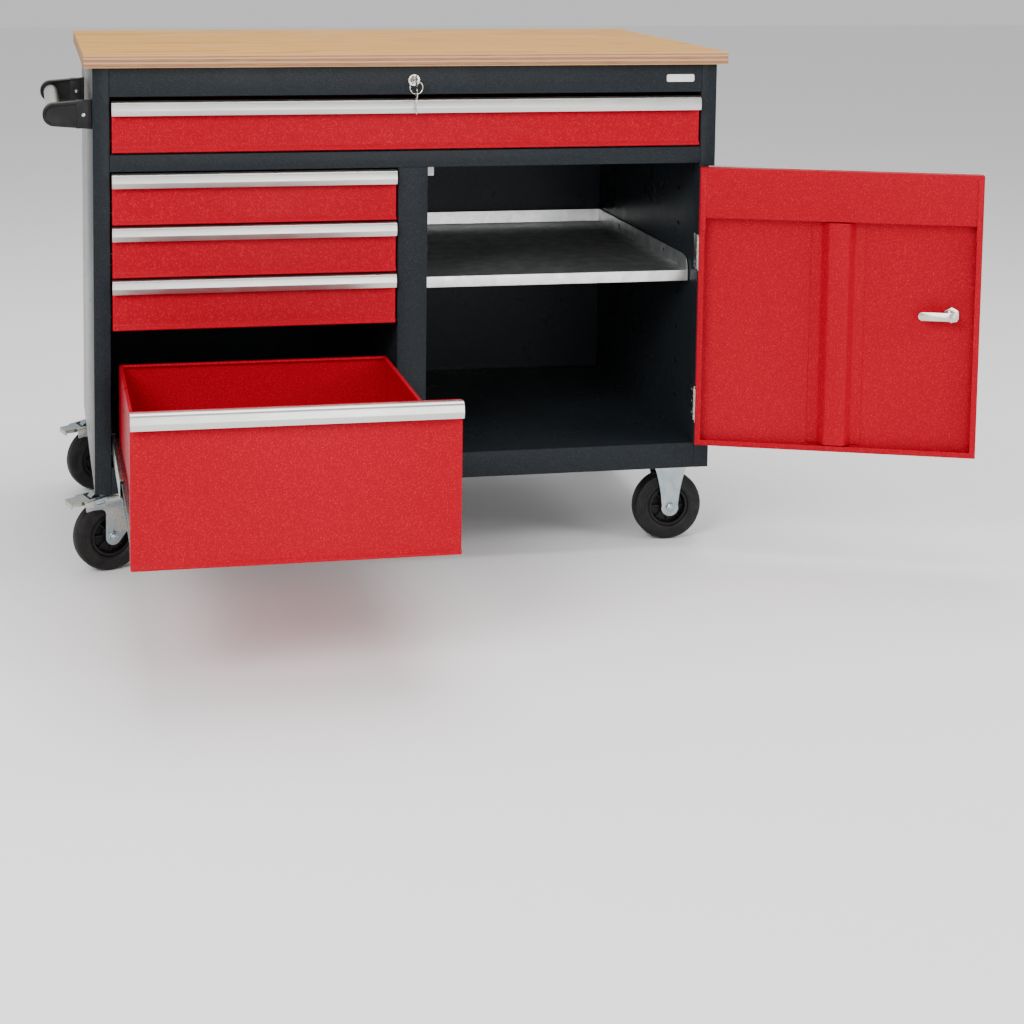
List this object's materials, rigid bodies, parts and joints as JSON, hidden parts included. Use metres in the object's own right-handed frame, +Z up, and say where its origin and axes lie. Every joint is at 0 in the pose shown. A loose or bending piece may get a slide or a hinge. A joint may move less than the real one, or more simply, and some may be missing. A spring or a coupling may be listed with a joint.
{
  "type": "mobile workbench with drawers",
  "caption": "Mobile steel workbench with plywood top, full-width drawer, drawer bank, cupboard with hinged door and shelf, push handle and braked casters.",
  "frame": {"origin": "on the floor under the centre of the steel carcass", "axes": "+X to the right of the drawer fronts, -Y out of the front, +Z up"},
  "size_m": [1.5865, 1.187, 0.89],
  "materials": {
    "oak_plywood": "oiled",
    "anthracite_coat": "fine texture powder coat",
    "red_coat": "fine texture powder coat",
    "aluminium": "natural anodised",
    "rubber": "matt",
    "black_plastic": "moulded, matt",
    "galvanised_sheet": "galvanised",
    "nickel": "nickel plated",
    "zinc_plated": "bright zinc plated"
  },
  "bodies": {
    "carcass": {"worktop": "oak_plywood", "side_left": "anthracite_coat", "side_right": "anthracite_coat", "side_liners": "anthracite_coat", "centre_post": "anthracite_coat", "rail_top": "anthracite_coat", "rail_mid": "anthracite_coat", "rail_bottom": "anthracite_coat", "back_panel": "anthracite_coat", "floor_panel": "anthracite_coat", "partition": "anthracite_coat", "dust_panel": "anthracite_coat", "shelf": "galvanised_sheet", "shelf_clips": "galvanised_sheet", "slides_outer": "zinc_plated", "lock_body": "nickel", "handle_brackets": "black_plastic", "handle_tube": "aluminium", "fasteners": "zinc_plated", "caster_plates": "zinc_plated", "hinge_leaves": "zinc_plated", "fixed_forks": "zinc_plated"},
    "key": {"key": "nickel"},
    "key_ring": {"key_ring": "nickel"},
    "top_drawer": {"top_box": "red_coat", "top_front_panel": "red_coat", "top_grip": "aluminium"},
    "upper_drawer": {"upper_box": "red_coat", "upper_front": "red_coat", "upper_grip": "aluminium"},
    "middle_drawer": {"middle_box": "red_coat", "middle_front": "red_coat", "middle_grip": "aluminium"},
    "lower_drawer": {"lower_box": "red_coat", "lower_front": "red_coat", "lower_grip": "aluminium"},
    "deep_drawer": {"deep_box": "red_coat", "deep_front": "red_coat", "deep_grip": "aluminium", "deep_runners": "zinc_plated"},
    "deep_slide_mids": {"deep_mids": "zinc_plated"},
    "door": {"door_skin": "red_coat", "door_channel": "red_coat", "door_stiffener": "red_coat", "door_grip": "aluminium", "door_leaves": "zinc_plated", "door_lock": "nickel"},
    "door_cam": {"door_cam": "nickel"},
    "front_swivel": {"front_fork": "zinc_plated"},
    "front_brake": {"front_pedal": "zinc_plated"},
    "rear_swivel": {"rear_fork": "zinc_plated"},
    "rear_brake": {"rear_pedal": "zinc_plated"},
    "wheel_front_left": {"tyre_fl": "rubber", "rim_fl": "black_plastic"},
    "wheel_rear_left": {"tyre_rl": "rubber", "rim_rl": "black_plastic"},
    "wheel_front_right": {"tyre_fr": "rubber", "rim_fr": "black_plastic"},
    "wheel_rear_right": {"tyre_rr": "rubber", "rim_rr": "black_plastic"}
  },
  "joints": [
    {"name": "top_drawer_slide", "type": "slide", "parent": "carcass", "child": "top_drawer", "axis": [0, -1, 0], "range_m": [0, 0.42]},
    {"name": "upper_drawer_slide", "type": "slide", "parent": "carcass", "child": "upper_drawer", "axis": [0, -1, 0], "range_m": [0, 0.42]},
    {"name": "middle_drawer_slide", "type": "slide", "parent": "carcass", "child": "middle_drawer", "axis": [0, -1, 0], "range_m": [0, 0.42]},
    {"name": "lower_drawer_slide", "type": "slide", "parent": "carcass", "child": "lower_drawer", "axis": [0, -1, 0], "range_m": [0, 0.42]},
    {"name": "deep_drawer_slide", "type": "slide", "parent": "carcass", "child": "deep_drawer", "axis": [0, -1, 0], "range_m": [-0.54, 0]},
    {"name": "deep_mid_slide", "type": "slide", "parent": "carcass", "child": "deep_slide_mids", "axis": [0, -1, 0], "range_m": [-0.27, 0]},
    {"name": "door_hinge", "type": "hinge", "parent": "carcass", "child": "door", "pos_m": [0.5105, -0.312, 0.4435], "axis": [0, 0, 1], "range_deg": [-160, 3]},
    {"name": "door_cam_turn", "type": "hinge", "parent": "door", "child": "door_cam", "pos_m": [0.90931, -0.48961, 0.4435], "axis": [-0.342, -0.9397, 0], "range_deg": [0, 180]},
    {"name": "key_turn", "type": "hinge", "parent": "carcass", "child": "key", "pos_m": [0, -0.3075, 0.8435], "axis": [0, 1, 0], "range_deg": [0, 90]},
    {"name": "key_ring_swing", "type": "hinge", "parent": "key", "child": "key_ring", "pos_m": [0, -0.3285, 0.8435], "axis": [0, 1, 0], "range_deg": [-40, 40]},
    {"name": "front_caster_swivel", "type": "hinge", "parent": "carcass", "child": "front_swivel", "pos_m": [-0.486, -0.2395, 0.1366], "axis": [0, 0, 1], "continuous": true},
    {"name": "front_brake_press", "type": "hinge", "parent": "front_swivel", "child": "front_brake", "pos_m": [-0.54877, -0.25989, 0.1201], "axis": [-0.309, 0.9511, 0], "range_deg": [-8, 0]},
    {"name": "wheel_front_left_spin", "type": "hinge", "parent": "front_swivel", "child": "wheel_front_left", "pos_m": [-0.51453, -0.24877, 0.0625], "axis": [-0.309, 0.9511, 0], "continuous": true},
    {"name": "rear_caster_swivel", "type": "hinge", "parent": "carcass", "child": "rear_swivel", "pos_m": [-0.486, 0.2395, 0.1366], "axis": [0, 0, 1], "continuous": true},
    {"name": "rear_brake_press", "type": "hinge", "parent": "rear_swivel", "child": "rear_brake", "pos_m": [-0.54877, 0.2191, 0.1201], "axis": [-0.309, 0.9511, 0], "range_deg": [-8, 0]},
    {"name": "wheel_rear_left_spin", "type": "hinge", "parent": "rear_swivel", "child": "wheel_rear_left", "pos_m": [-0.51453, 0.23023, 0.0625], "axis": [-0.309, 0.9511, 0], "continuous": true},
    {"name": "wheel_front_right_spin", "type": "hinge", "parent": "carcass", "child": "wheel_front_right", "pos_m": [0.486, -0.2395, 0.0625], "axis": [0, 1, 0], "continuous": true},
    {"name": "wheel_rear_right_spin", "type": "hinge", "parent": "carcass", "child": "wheel_rear_right", "pos_m": [0.486, 0.2395, 0.0625], "axis": [0, 1, 0], "continuous": true}
  ],
  "couplings": [
    {"joint": "deep_mid_slide", "follows": "deep_drawer_slide", "ratio": 0.5}
  ]
}
